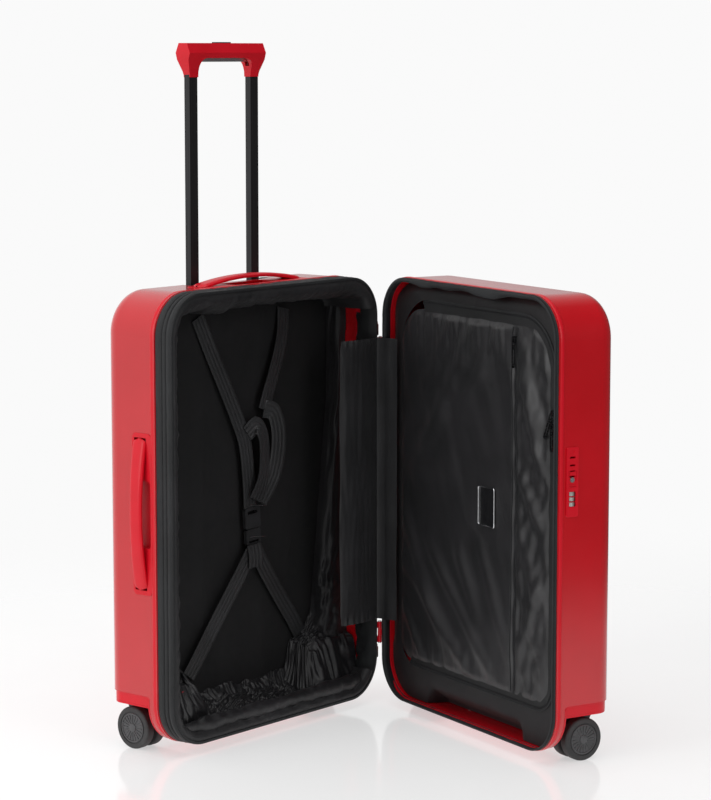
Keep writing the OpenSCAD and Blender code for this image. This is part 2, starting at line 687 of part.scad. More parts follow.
back_shell();
back_gusset();
expansion_zip();
main_zip_back();
back_lining();
trolley_tubes();
handle_cup();
tube_foot();
handle_trays();
back_wheel_housings();
hinge_back_leaves();
hinge_pins();
back_fasteners();
straps();
strap_buckle();
spine_flap_back();
front_shell();
main_zip_front();
front_lining();
divider_zip();
front_wheel_housings();
hinge_front_leaves();
front_fasteners();
lock_body();
spine_flap_front();
poles();
grip();
pole_shoes();
grip_button();
release_rods();
top_handle();
side_handle();
fork_back_outer();
fork_back_inner();
fork_front_outer();
fork_front_inner();
wheels_back_outer();
wheels_back_inner();
wheels_front_outer();
wheels_front_inner();
lock_button();
key_cylinder();
dial_1();
dial_2();
dial_3();
main_slider_upper();
main_pull_upper();
main_slider_lower();
main_pull_lower();
divider_slider_upper();
divider_pull_upper();
divider_slider_lower();
divider_pull_lower();
divider_panel();
pocket_zip();
pocket_patch();
pocket_slider();
pocket_pull();
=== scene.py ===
"""A hard shell suitcase on twin casters, standing open like a book: its looks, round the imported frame."""

import json
import math

import bmesh
import bpy
import numpy as np
from mathutils import Matrix, Vector, noise


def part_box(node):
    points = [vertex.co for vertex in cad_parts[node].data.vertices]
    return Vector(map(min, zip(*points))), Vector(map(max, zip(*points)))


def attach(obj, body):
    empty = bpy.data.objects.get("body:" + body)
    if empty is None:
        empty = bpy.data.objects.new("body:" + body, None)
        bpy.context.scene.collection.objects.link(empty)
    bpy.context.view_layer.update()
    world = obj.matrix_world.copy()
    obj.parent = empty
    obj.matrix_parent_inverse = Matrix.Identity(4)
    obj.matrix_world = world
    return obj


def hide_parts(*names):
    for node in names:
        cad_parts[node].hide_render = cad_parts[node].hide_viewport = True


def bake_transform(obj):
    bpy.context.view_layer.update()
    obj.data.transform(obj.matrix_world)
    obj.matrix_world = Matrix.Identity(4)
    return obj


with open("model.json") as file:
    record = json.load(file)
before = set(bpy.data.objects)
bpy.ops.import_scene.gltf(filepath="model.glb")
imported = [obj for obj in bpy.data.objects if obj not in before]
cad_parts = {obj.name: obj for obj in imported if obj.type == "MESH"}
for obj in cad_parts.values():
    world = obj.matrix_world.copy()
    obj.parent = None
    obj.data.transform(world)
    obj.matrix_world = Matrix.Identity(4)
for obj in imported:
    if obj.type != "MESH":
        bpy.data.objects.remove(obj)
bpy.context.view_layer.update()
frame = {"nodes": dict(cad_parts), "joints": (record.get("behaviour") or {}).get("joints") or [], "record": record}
MM = 0.001
BACKDROP = 0.955    # how white the camera sees the background
FLOOR_GLOW = 0.50   # the floor's own light, which keeps the shadows on it faint

# ---------------------------------------------------------------- camera, light and floor


def make_camera():
    """A long lens from the lock side of the back half, a little above the case."""
    data = bpy.data.cameras.new("camera")
    data.sensor_width = 36
    data.lens = 120.95
    camera = bpy.data.objects.new("camera", data)
    heading = math.radians(50.8)
    pitch = math.radians(-7.39)
    camera.location = (-2.983, -2.376, 0.999)
    level = math.cos(pitch)
    looks = Vector((math.sin(heading) * level, math.cos(heading) * level, math.sin(pitch)))
    camera.rotation_euler = looks.to_track_quat("-Z", "Y").to_euler()
    bpy.context.scene.collection.objects.link(camera)
    bpy.context.scene.camera = camera


def area_light(name, at, target, size, watts):
    data = bpy.data.lights.new(name, "AREA")
    data.shape = "RECTANGLE"
    data.size, data.size_y = size
    data.energy = watts
    light = bpy.data.objects.new(name, data)
    light.location = at
    light.rotation_euler = (Vector(target) - Vector(at)).to_track_quat("-Z", "Y").to_euler()
    bpy.context.scene.collection.objects.link(light)


def make_world():
    """A white backdrop for the camera, and for all other light a white room with one dark side."""
    world = bpy.data.worlds.new("studio")
    world.use_nodes = True
    nodes, links = world.node_tree.nodes, world.node_tree.links
    room, backdrop = nodes["Background"], nodes.new("ShaderNodeBackground")
    backdrop.inputs["Strength"].default_value = BACKDROP
    # the room is bright behind and to the left of the case, and dark at the camera's right hand
    towards = nodes.new("ShaderNodeVectorMath")
    towards.operation = "DOT_PRODUCT"
    towards.inputs[1].default_value = (-0.50, 0.86, 0.10)
    level = nodes.new("ShaderNodeMapRange")
    for key, value in {"From Min": -0.35, "From Max": 0.55, "To Min": 0.10, "To Max": 0.90}.items():
        level.inputs[key].default_value = value
    seen = nodes.new("ShaderNodeLightPath")
    either = nodes.new("ShaderNodeMixShader")
    links.new(nodes.new("ShaderNodeTexCoord").outputs["Generated"], towards.inputs[0])
    links.new(towards.outputs["Value"], level.inputs["Value"])
    links.new(level.outputs["Result"], room.inputs["Strength"])
    links.new(seen.outputs["Is Camera Ray"], either.inputs[0])
    links.new(room.outputs[0], either.inputs[1])
    links.new(backdrop.outputs[0], either.inputs[2])
    links.new(either.outputs[0], nodes["World Output"].inputs["Surface"])
    for shown in (room, backdrop):
        shown.inputs["Color"].default_value = (1, 1, 1, 1)
    bpy.context.scene.world = world
    bpy.context.scene.view_settings.view_transform = "Standard"


def make_studio():
    """Soft lights from above, the left and the front, over a pale floor that fades out."""
    make_world()
    middle = (0, 0, 0.4)
    area_light("overhead", (-0.4, -0.6, 3.4), middle, (3.0, 3.0), 42)
    area_light("left_window", (-3.2, 0.9, 1.5), middle, (1.2, 2.6), 30)
    area_light("front_window", (-0.6, -3.6, 1.7), middle, (1.6, 2.4), 34)
    floor = grid_mesh("floor", lambda a, b: (8 * (a - 0.5), 8 * (b - 0.5), 0), 2, 2)
    paint(floor, floor_material())


# ---------------------------------------------------------------- mesh helpers


def new_mesh(name, verts, faces, smooth=40):
    """A mesh object; edges sharper than smooth degrees stay sharp."""
    data = bpy.data.meshes.new(name)
    data.from_pydata([tuple(map(float, v)) for v in verts], [], faces)
    data.update()
    made = bpy.data.objects.new(name, data)
    bpy.context.scene.collection.objects.link(made)
    finish_shading(made, smooth)
    return made


def finish_shading(made, smooth=40):
    data = made.data
    data.polygons.foreach_set("use_smooth", [True] * len(data.polygons))
    data.set_sharp_from_angle(angle=math.radians(smooth))
    data.update()


def grid_faces(rows, columns, wrap_rows=False, wrap_columns=False):
    faces = []
    for r in range(rows if wrap_rows else rows - 1):
        for c in range(columns if wrap_columns else columns - 1):
            r2, c2 = (r + 1) % rows, (c + 1) % columns
            faces.append((r * columns + c, r * columns + c2, r2 * columns + c2, r2 * columns + c))
    return faces


def grid_mesh(name, at, rows, columns, smooth=180):
    """A grid whose point (a, b), each from 0 to 1, lies at at(a, b) in metres."""
    verts = [at(r / (rows - 1), c / (columns - 1)) for r in range(rows) for c in range(columns)]
    return new_mesh(name, verts, grid_faces(rows, columns), smooth)


def paint(made, material):
    made.data.materials.clear()
    made.data.materials.append(material)
    return made


# ---------------------------------------------------------------- materials


class Shader:
    """A principled material with short calls for its nodes."""

    def __init__(self, name, **values):
        self.material = bpy.data.materials.new(name)
        self.material.use_nodes = True
        self.nodes = self.material.node_tree.nodes
        self.links = self.material.node_tree.links
        self.shader = self.nodes["Principled BSDF"]
        for key, value in values.items():
            self.shader.inputs[key.replace("_", " ")].default_value = value
        self.height = None

    def node(self, kind, settings=(), **inputs):
        made = self.nodes.new(kind)
        for key, value in dict(settings).items():
            setattr(made, key, value)
        for key, value in inputs.items():
            numbered = key[0] == "i" and key[1:].isdigit()
            socket = made.inputs[int(key[1:]) if numbered else key.replace("_", " ")]
            if isinstance(value, bpy.types.NodeSocket):
                self.links.new(value, socket)
            else:
                socket.default_value = value
        return made

    def place(self):
        return self.node("ShaderNodeTexCoord").outputs["Object"]

    def noise(self, scale, detail=3, vector=None):
        made = self.node("ShaderNodeTexNoise", Vector=vector or self.place(), Scale=scale, Detail=detail)
        return made.outputs["Fac"]

    def ramp(self, fac, low, high, start=0.0, end=1.0):
        made = self.node("ShaderNodeMapRange", Value=fac, From_Min=start, From_Max=end,
                         To_Min=low, To_Max=high)
        return made.outputs["Result"]

    def math(self, operation, a, b=0.0):
        return self.node("ShaderNodeMath", {"operation": operation}, i0=a, i1=b).outputs[0]

    def colour(self, fac, dark, light, start=0.3, end=0.7):
        made = self.node("ShaderNodeValToRGB", Fac=fac)
        made.color_ramp.elements[0].position, made.color_ramp.elements[1].position = start, end
        made.color_ramp.elements[0].color = (*dark, 1)
        made.color_ramp.elements[1].color = (*light, 1)
        self.links.new(made.outputs["Color"], self.shader.inputs["Base Color"])

    def roughness(self, fac):
        self.links.new(fac, self.shader.inputs["Roughness"])

    def bump(self, height, strength, distance):
        made = self.node("ShaderNodeBump", Height=height, Strength=strength, Distance=distance)
        if self.height is not None:
            self.links.new(self.height, made.inputs["Normal"])
        self.height = made.outputs["Normal"]
        self.links.new(self.height, self.shader.inputs["Normal"])

    def weave(self, scale, strength, distance):
        """Two sets of threads that cross: scale is threads in a metre."""
        x, y, z = (self.node("ShaderNodeSeparateXYZ", Vector=self.place()).outputs[k] for k in "XYZ")
        level = self.math("ADD", x, y)
        warp = self.math("SINE", self.math("MULTIPLY", level, scale * 2 * math.pi))
        weft = self.math("SINE", self.math("MULTIPLY", z, scale * 2 * math.pi))
        self.bump(self.math("MULTIPLY", warp, weft), strength, distance)


def red_shell_material():
    s = Shader("red_shell", Coat_Weight=0.65, Coat_Roughness=0.05, Specular_IOR_Level=0.5)
    s.colour(s.noise(9, 3), (0.52, 0.0008, 0.006), (0.58, 0.0018, 0.009))
    s.roughness(s.ramp(s.noise(40, 4), 0.17, 0.25))
    s.bump(s.noise(260, 2), 0.04, 0.0004)
    return s.material


def red_plastic_material():
    s = Shader("red_plastic", Coat_Weight=0.10, Coat_Roughness=0.2, Specular_IOR_Level=0.3)
    s.colour(s.noise(25, 3), (0.62, 0.002, 0.012), (0.68, 0.004, 0.017))
    s.roughness(s.ramp(s.noise(120, 4), 0.30, 0.40))
    s.bump(s.noise(2200, 2), 0.12, 0.0002)
    return s.material


def black_plastic_material(name, dark, light, rough):
    s = Shader(name)
    s.colour(s.noise(60, 4), dark, light)
    s.roughness(s.ramp(s.noise(300, 3), rough, rough + 0.14))
    s.bump(s.noise(1800, 3), 0.25, 0.0003)
    return s.material


def tyre_material():
    s = Shader("tyre")
    s.colour(s.noise(40, 5), (0.028, 0.028, 0.029), (0.045, 0.045, 0.046))
    s.roughness(s.ramp(s.noise(150, 4), 0.6, 0.78))
    s.bump(s.noise(900, 4), 0.3, 0.0004)
    return s.material


def anodised_material():
    s = Shader("black_anodised", Metallic=0.55)
    grain = s.node("ShaderNodeMapping", Vector=s.place(), Scale=(900, 900, 6)).outputs["Vector"]
    s.colour(s.noise(1, 4, vector=grain), (0.018, 0.018, 0.019), (0.034, 0.034, 0.036))
    s.roughness(s.ramp(s.noise(1, 3, vector=grain), 0.28, 0.42))
    s.bump(s.noise(1, 3, vector=grain), 0.08, 0.0002)
    return s.material


def metal_material(name, dark, light, rough):
    s = Shader(name, Metallic=1.0)
    stretch = s.node("ShaderNodeMapping", Vector=s.place(), Scale=(40, 40, 1500)).outputs["Vector"]
    s.colour(s.noise(1, 4, vector=stretch), dark, light)
    s.roughness(s.ramp(s.noise(1, 3, vector=stretch), rough, rough + 0.12))
    s.bump(s.noise(1, 3, vector=stretch), 0.06, 0.0002)
    return s.material


def floor_material():
    """A pale floor that glows a little, so that shadows stay faint, and fades into the backdrop."""
    s = Shader("floor", Emission_Strength=FLOOR_GLOW, Specular_IOR_Level=0.5)
    s.shader.inputs["Emission Color"].default_value = (1, 1, 1, 1)
    s.colour(s.noise(3, 3), (0.49, 0.49, 0.49), (0.51, 0.51, 0.51))
    s.roughness(s.ramp(s.noise(6, 4), 0.10, 0.14))
    away = s.node("ShaderNodeVectorMath", {"operation": "LENGTH"}, i0=s.place()).outputs["Value"]
    fade = s.node("ShaderNodeMapRange", {"interpolation_type": "SMOOTHSTEP"}, Value=away,
                  From_Min=0.75, From_Max=1.9, To_Min=1.0, To_Max=0.0)
    s.links.new(fade.outputs["Result"], s.shader.inputs["Alpha"])
    return s.material


def cloth_material(name, dark, light, rough, threads=1400, coat=0.0, weave=0.3):
    s = Shader(name, Sheen_Weight=0.05, Sheen_Roughness=0.4, Coat_Weight=coat, Coat_Roughness=0.28,
               Specular_IOR_Level=0.35)
    s.colour(s.noise(14, 4), dark, light)
    s.roughness(s.ramp(s.noise(90, 4), rough, rough + 0.14))
    s.weave(threads, weave, 0.0003)
    s.bump(s.noise(420, 3), 0.12, 0.0005)
    return s.material


RED_SHELL = red_shell_material()
RED_PLASTIC = red_plastic_material()
BLACK_PLASTIC = black_plastic_material("black_plastic", (0.014, 0.014, 0.015), (0.022, 0.022, 0.024), 0.38)
TYRE = tyre_material()
ANODISED = anodised_material()
STEEL = metal_material("steel", (0.50, 0.50, 0.52), (0.66, 0.66, 0.68), 0.22)
CHROME = metal_material("chrome", (0.70, 0.70, 0.72), (0.82, 0.82, 0.84), 0.08)
BLACK_METAL = metal_material("black_nickel", (0.08, 0.08, 0.085), (0.20, 0.20, 0.21), 0.20)
DIAL_METAL = metal_material("dial_metal", (0.62, 0.60, 0.56), (0.78, 0.76, 0.72), 0.30)
GUSSET = cloth_material("gusset_cloth", (0.010, 0.011, 0.012), (0.018, 0.019, 0.021), 0.50)
LINING = cloth_material("lining_cloth", (0.012, 0.012, 0.013), (0.022, 0.021, 0.023), 0.38)
# painted shade: a darker copy of the lining cloth, for the lining's back deep inside the half
LINING_SHADED = cloth_material("lining_painted_shade", (0.0035, 0.0035, 0.004), (0.007, 0.0065, 0.0075), 0.62)
LINING_GLOSS = cloth_material("lining_gloss", (0.006, 0.006, 0.007), (0.013, 0.012, 0.014), 0.26, coat=0.25)
DIVIDER = cloth_material("divider_cloth", (0.010, 0.010, 0.011), (0.019, 0.018, 0.020), 0.30, coat=0.35)
BORDER = cloth_material("border_cloth", (0.007, 0.006, 0.007), (0.012, 0.011, 0.012), 0.50)
FLAP = cloth_material("flap_cloth", (0.014, 0.014, 0.015), (0.026, 0.026, 0.028), 0.34, coat=0.10)
WEBBING = cloth_material("webbing", (0.014, 0.014, 0.015), (0.026, 0.026, 0.028), 0.30,
                         threads=900, coat=0.3, weave=0.5)
RED_LIP = red_plastic_material()
PATCH = black_plastic_material("patch_black", (0.008, 0.008, 0.009), (0.012, 0.012, 0.013), 0.08)
HUB = black_plastic_material("hub_plastic", (0.045, 0.045, 0.047), (0.07, 0.07, 0.074), 0.30)
ZIP_TAPE = cloth_material("zip_tape", (0.006, 0.006, 0.0065), (0.011, 0.011, 0.012), 0.5)
ZIP = cloth_material("zip_nylon", (0.010, 0.010, 0.011), (0.016, 0.016, 0.018), 0.55)

BY_SLOT = {
    "red_shell": RED_SHELL, "red_plastic": RED_PLASTIC, "black_plastic": BLACK_PLASTIC,
    "black_aluminium": ANODISED, "tube_aluminium": STEEL, "gusset_cloth": GUSSET, "zip_nylon": ZIP,
    "lining_cloth": LINING, "webbing": GUSSET, "steel": STEEL, "zip_metal": BLACK_METAL,
    "patch_metal": CHROME, "dial_metal": DIAL_METAL, "wheel_rubber": TYRE,
}

# ---------------------------------------------------------------- the frame's own sizes, in mm

JOINTS = {joint["name"]: joint for joint in frame["joints"]}
HINGE = Vector(JOINTS["case_hinge"]["pos_m"])
OPENED = math.radians(-JOINTS["case_hinge"]["range_deg"][0])
shell_low, shell_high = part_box("back_shell")
SPINE_GAP = (HINGE.x - shell_high.x) / MM
CASE_W = (shell_high.x - shell_low.x) / MM
FLOOR = shell_low.z / MM
TOP = shell_high.z / MM
CORNER_R = 62
RIM_BACK = 33
RIM_FRONT = 7
HOUSING_TOP = 87
TOOTH_PITCH = 1.7


class Half:
    """One half of the case. Its points are (u, n, z) in mm: out from the spine, behind the zip, up."""

    def __init__(self, body, turn, depth):
        self.body, self.depth = body, depth
        self.cos, self.sin = math.cos(turn), math.sin(turn)

    def at(self, u, n, z):
        x, y = -(SPINE_GAP + u), self.depth * n
        turned = Vector((x * self.cos - y * self.sin, x * self.sin + y * self.cos, 0))
        return Vector((HINGE.x, HINGE.y, 0)) + (turned + Vector((0, 0, z))) * MM

    def out(self, p):
        """The half's own (u, n, z) of a world point."""
        x, y = (p[0] - HINGE.x) / MM, (p[1] - HINGE.y) / MM
        u = -(x * self.cos + y * self.sin) - SPINE_GAP
        return u, self.depth * (y * self.cos - x * self.sin), p[2] / MM

    def mesh(self, name, points, faces, smooth=40):
        made = new_mesh(name, [self.at(*p) for p in points], faces, smooth)
        face_outward(made, smooth)
        return made

    def sheet(self, name, at, rows, columns, smooth=180):
        """A grid of cloth whose point (a, b), each from 0 to 1, lies at at(a, b), a (u, n, z)."""
        points = [at(r / (rows - 1), c / (columns - 1)) for r in range(rows) for c in range(columns)]
        return self.mesh(name, points, grid_faces(rows, columns), smooth)


BACK = Half("back", 0, 1)
FRONT = Half("front", OPENED, -1)


def face_outward(made, smooth):
    bm = bmesh.new()
    bm.from_mesh(made.data)
    bmesh.ops.recalc_face_normals(bm, faces=bm.faces)
    bm.to_mesh(made.data)
    bm.free()
    finish_shading(made, smooth)


def add(made, body, material, slot, *replaced):
    paint(made, material)
    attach(made, body)
    if replaced:
        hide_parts(*replaced)
    return made


def wobble(x, y, z=0.0):
    """Smooth noise from about -1 to 1."""
    return noise.noise(Vector((x, y, z))) * 1.6


def ease(x, low, high):
    """0 below low, 1 above high, and smooth between."""
    t = min(1, max(0, (x - low) / (high - low)))
    return t * t * (3 - 2 * t)


def mix(a, b, t):
    return a + (b - a) * t


def corner_inset(near, radius):
    """How far a rounded corner pulls a side in, near mm from the end of that side."""
    return radius - math.sqrt(max(0, radius ** 2 - (radius - near) ** 2)) if near < radius else 0


# ---------------------------------------------------------------- outlines and what is swept round them


def outline(u0, u1, z0, z1, radius, step, arc=14):
    """Points (u, z, outward u, outward z, run) round a rounded rectangle, from the spine's top corner."""
    corners = [(u0 + radius, z1 - radius, 180), (u1 - radius, z1 - radius, 90),
               (u1 - radius, z0 + radius, 0), (u0 + radius, z0 + radius, -90)]
    rows = []
    for i, (cu, cz, start) in enumerate(corners):
        for k in range(arc + 1):
            a = math.radians(start - 90 * k / arc)
            rows.append((cu + radius * math.cos(a), cz + radius * math.sin(a), math.cos(a), math.sin(a)))
        nu, nz, begin = corners[(i + 1) % 4]
        a = math.radians(begin)
        end = (nu + radius * math.cos(a), nz + radius * math.sin(a))
        last = rows[-1]
        count = max(2, round(math.dist(last[:2], end) / step))
        for k in range(1, count):
            rows.append((mix(last[0], end[0], k / count), mix(last[1], end[1], k / count), last[2], last[3]))
    run, points = 0.0, []
    for i, row in enumerate(rows):
        points.append((*row, run))
        run += math.dist(row[:2], rows[(i + 1) % len(rows)][:2])
    return points


def rim(step=6.0):
    return outline(0, CASE_W, FLOOR, TOP, CORNER_R, step)


def sweep(half, name, profile, path, wave=None, closed=True, ring=True, smooth=50):
    """Sweeps a profile of (inset, n) points along an outline. wave(point, j) gives (inset, n) to add."""
    points = []
    for spot in path:
        u, z, nu, nz, _ = spot
        for j, (inset, n) in enumerate(profile):
            more, deeper = wave(spot, j) if wave else (0, 0)
            away = inset + more
            points.append((u - nu * away, n + deeper, z - nz * away))
    faces = grid_faces(len(path), len(profile), wrap_rows=ring, wrap_columns=closed)
    if closed and not ring:
        faces.append(tuple(range(len(profile)))[::-1])
        faces.append(tuple((len(path) - 1) * len(profile) + k for k in range(len(profile))))
    return half.mesh(name, points, faces, smooth)


def tooth_row(half, name, spots, length=0.95, width=3.0, height=1.0):
    """Small zip teeth. Each spot is (centre, along, across), and height is along their cross product."""
    points, faces = [], []
    for centre, along, across in spots:
        c, a, b = Vector(centre), Vector(along).normalized(), Vector(across).normalized()
        up = a.cross(b)
        base = len(points)
        for k in (0, 1):
            for da, db in ((-1, -1), (1, -1), (1, 1), (-1, 1)):
                pinch = 1 if k == 0 else 0.72
                points.append(tuple(c + a * da * length / 2 * pinch + b * db * width / 2 * pinch
                                    + up * (k - 0.5) * height))
        faces += [(base, base + 3, base + 2, base + 1), (base + 4, base + 5, base + 6, base + 7)]
        faces += [(base + k, base + (k + 1) % 4, base + 4 + (k + 1) % 4, base + 4 + k) for k in range(4)]
    return half.mesh(name, points, faces, 30)


def even(path, pitch, ring=True):
    """The outline's points again, pitch mm apart."""
    table = list(path) + ([path[0]] if ring else [])
    found, left = [], 0.0
    for a, b in zip(table, table[1:]):
        length = math.dist(a[:2], b[:2])
        while left < length:
            t = left / length
            found.append(tuple(mix(a[i], b[i], t) for i in range(4)))
            left += pitch
        left -= length
    return found


def teeth_round(half, name, path, inset, n, ring=True):
    """Teeth on the outer side of a wall, round the rim."""
    spots = [((u - nu * inset, n, z - nz * inset), (nz, 0, -nu), (0, 1, 0))
             for u, z, nu, nz in even(path, TOOTH_PITCH, ring)]
    return tooth_row(half, name, spots)


def teeth_flat(half, name, path, n, ring=False):
    """Teeth on a flat cloth, along an outline."""
    spots = [((u, n, z), (nz, 0, -nu), (nu, 0, nz)) for u, z, nu, nz in even(path, TOOTH_PITCH, ring)]
    return tooth_row(half, name, spots, width=3.4)


def ribbon(half, name, path, width, thick, twist, ribs=4, steps=48):
    """Webbing along (u, n, z) points: a smooth curve through them, its face towards the mouth."""
    curve = smooth_path(path, steps)
    across_count = 4 * ribs + 1
    points = []
    for i, p in enumerate(curve):
        ahead = Vector(curve[min(i + 1, len(curve) - 1)]) - Vector(curve[max(i - 1, 0)])
        side = ahead.cross(Vector((0, 1, 0))).normalized()
        if twist:
            side.rotate(Matrix.Rotation(twist * math.sin(math.pi * i / (len(curve) - 1)), 3, ahead))
        face = side.cross(ahead).normalized()
        for layer in (0, 1):
            for k in range(across_count):
                t = k / (across_count - 1) * (1 if layer == 0 else -1) + (0 if layer == 0 else 1)
                rib = 0.8 * (1 - math.cos(2 * math.pi * ribs * t)) / 2
                off = (thick / 2 + rib) * (1 if layer == 0 else -1)
                points.append(tuple(Vector(p) + side * (t - 0.5) * width + face * off))
    ring_size = 2 * across_count
    faces = grid_faces(len(curve), ring_size, wrap_columns=True)
    faces.append(tuple(range(ring_size))[::-1])
    faces.append(tuple((len(curve) - 1) * ring_size + k for k in range(ring_size)))
    return half.mesh(name, points, faces, 50)


def smooth_path(path, steps):
    """A Catmull-Rom curve through the points."""
    ends = [path[0], *path, path[-1]]
    curve = []
    for i in range(len(path) - 1):
        a, b, c, d = (np.array(ends[i + k], float) for k in range(4))
        count = max(2, steps // (len(path) - 1))
        for k in range(count + (i == len(path) - 2)):
            t = k / count
            curve.append(tuple(0.5 * (2 * b + (c - a) * t + (2 * a - 5 * b + 4 * c - d) * t * t
                                      + (3 * b - a - 3 * c + d) * t ** 3)))
    return curve


# ---------------------------------------------------------------- shells' rims, gusset and zips


def make_rims():
    """A rounded lip on each shell's rim, which catches the light as a bright line."""
    lip = [(3.6, -0.4), (2.2, -0.7), (0.9, -0.1), (0.1, 1.2), (-0.35, 3.5), (-0.4, 6.0), (-0.1, 7.6),
           (0.5, 8.4), (1.1, 8.6), (3.6, 8.6)]
    for half, start in ((BACK, RIM_BACK), (FRONT, RIM_FRONT)):
        made = sweep(half, half.body + "_rim_lip", [(i, start + n) for i, n in lip], rim(5))
        add(made, half.body, RED_LIP, "red_shell")


def make_gusset():
    """The soft wall between the main zip and the back shell, with its closed expansion zip."""
    outer = [(2.6, 33.2), (0.9, 31), (0.2, 27), (0.6, 23.4), (1.7, 21.6), (1.7, 19.2), (0.7, 17.6), (0.7, 16),
             (1.7, 14.4), (1.7, 12), (0.6, 10.2), (0.2, 7.6), (0.9, 5.4), (1.8, 4.4), (2.0, 0.4)]
    inner = [(4.6, 0.4), (5.2, 4), (7.0, 9), (8.2, 15), (8.6, 22), (8.0, 28), (6.4, 33), (4.2, 40)]
    profile = outer + inner
    # how far each of the outer profile's points wavers
    soft = {1: 0.3, 2: 0.6, 3: 0.4, 6: 0.3, 7: 0.3, 10: 0.4, 11: 0.6, 12: 0.3}

    def wave(spot, j):
        _, _, nu, _, run = spot
        slack = 1 + 1.6 * ease(-nu, -0.2, 0.9)
        if j in soft:
            return soft[j] * slack * wobble(run / 17, j * 0.3, 2), 0
        if j >= len(outer) + 1:
            deep = (j - len(outer)) / len(inner)
            return slack * (1.8 * wobble(run / 26, j * 0.5, 7) + 0.9 * wobble(run / 9, j, 3)) * deep, \
                1.2 * wobble(run / 21, j, 9) * deep
        return 0, 0

    made = sweep(BACK, "gusset_cloth", profile, rim(3.5), wave)
    add(made, "back", GUSSET, "gusset_cloth", "back_gusset")
    rows = (("expansion_teeth_deep", 20.4, ["expansion_zip"]), ("expansion_teeth", 13.2, []))
    for name, n, replaced in rows:
        add(teeth_round(BACK, name, rim(), 1.35, n), "back", ZIP, "zip_nylon", *replaced)
    add(teeth_round(BACK, "main_teeth_back", rim(), 1.6, 2.0), "back", ZIP, "zip_nylon", "main_zip_back")


def make_front_tape():
    """The front half's zip tape, which sags a little along the top, and its teeth."""
    profile = [(2.6, 7.3), (1.0, 6.3), (0.6, 4.6), (1.4, 3.4), (1.6, 0.3), (4.4, -0.3), (6.4, 0.6), (7.6, 3),
               (7.2, 7), (5.2, 10.5), (4.0, 13.4)]

    def wave(spot, j):
        u, _, nu, nz, run = spot
        top = ease(nz, 0.6, 1.0)
        sag = top * (3.4 * (1 + wobble(u / 52, 0.4)) * ease(u, 50, 110) * (1 - ease(u, 300, 345)))
        lock_side = -3.2 * ease(nu, 0.4, 1.0)
        foot = -3.4 * ease(-nz, 0.4, 1.0)
        turned_in = (sag + lock_side + foot) * min(1, max(0, j - 4) / 2) if j < 10 else 0
        return turned_in + 0.25 * wobble(run / 14, j * 0.2), 0

    made = sweep(FRONT, "front_tape", profile, rim(4), wave)
    add(made, "front", GUSSET, "zip_nylon", "main_zip_front")
    add(teeth_round(FRONT, "main_teeth_front", rim(), 1.3, 2.0), "front", ZIP, "zip_nylon")


# ---------------------------------------------------------------- the back half's lining

# the walls' profile: (inset from the rim, depth behind the zip)
WALLS = [(5.0, 2.2), (7.5, 0.9), (11, 1.2), (15, 3), (18, 7), (18.8, 13), (17.2, 20), (17, 28), (18.6, 38),
         (18.2, 52), (17.4, 68), (18, 82), (22, 90)]
CURTAIN_TOP, CURTAIN_FOOT = 640, 84


def by_wheel(u, near, far):
    """1 above the wheels, up to near mm in from each side, and 0 beyond far."""
    return max(1 - ease(u, near, far), ease(u, CASE_W - far, CASE_W - near))


def hem_wave(spot, j):
    """Gathers in the lining's elastic hem, and the slack that hangs from its top."""
    u, z, nu, nz, run = spot
    deep = min(1.0, j / 4)
    top, side = ease(nz, 0.5, 1.0), ease(nu, 0.3, 1.0)
    hang = top * (3 + 10 * ease(j, 4, 7)) * (1 + 0.5 * wobble(u / 60, j * 0.15, 5))
    gather = 2.1 * wobble(run / 15, j * 0.22, 1) + 1.1 * wobble(run / 6.5, j * 0.3, 4)
    bulge = side * 5 * ease(j, 3, 6) * (0.6 + wobble(z / 95, 0.3 * j, 8))
    deeper = deep * 1.6 * wobble(run / 11, j * 0.4, 6)
    if j > 8 and z < HOUSING_TOP + 8 and by_wheel(u, 98, 108) > 0.5:
        # the cloth stops short of the wheel housings
        deeper = WALLS[8][1] + 2 - WALLS[j][1]
    return deep * (gather + hang + bulge), deeper


def make_lining_walls():
    """The lining from the zip over its gathered hem to the back, on every side but the spine."""
    path = rim(3.5)
    spine_foot = max(i for i, p in enumerate(path) if p[2] > -0.95)
    made = sweep(BACK, "lining_walls", WALLS, path[2:spine_foot], hem_wave,
                 closed=False, ring=False, smooth=180)
    add(made, "back", LINING, "lining_cloth", "back_lining")


def make_lining_back():
    """The lining's back, nearly flat against the tubes, with two soft ridges over them."""

    top = TOP - 14

    def at(a, b):
        foot = mix(FLOOR + 18, HOUSING_TOP + 7, by_wheel(mix(12, CASE_W - 14, b), 98, 108))
        z = mix(foot, top, a)
        turn = corner_inset(top - z, CORNER_R - 10)
        u = mix(12 + turn, CASE_W - 14 - turn, b)
        over_tube = sum(math.exp(-((u - c) / 12) ** 2) for c in (CASE_W / 2 - 66, CASE_W / 2 + 66))
        n = 93 - 1.2 * over_tube + 0.8 * wobble(u / 70, z / 90) + 0.5 * wobble(u / 16 + z / 40, z / 30, 4)
        return u, n, z

    made = BACK.sheet("lining_back_panel", at, 90, 64)
    # the back panel takes the darker copy of the lining cloth, as painted shade
    add(made, "back", LINING_SHADED, "lining_cloth")


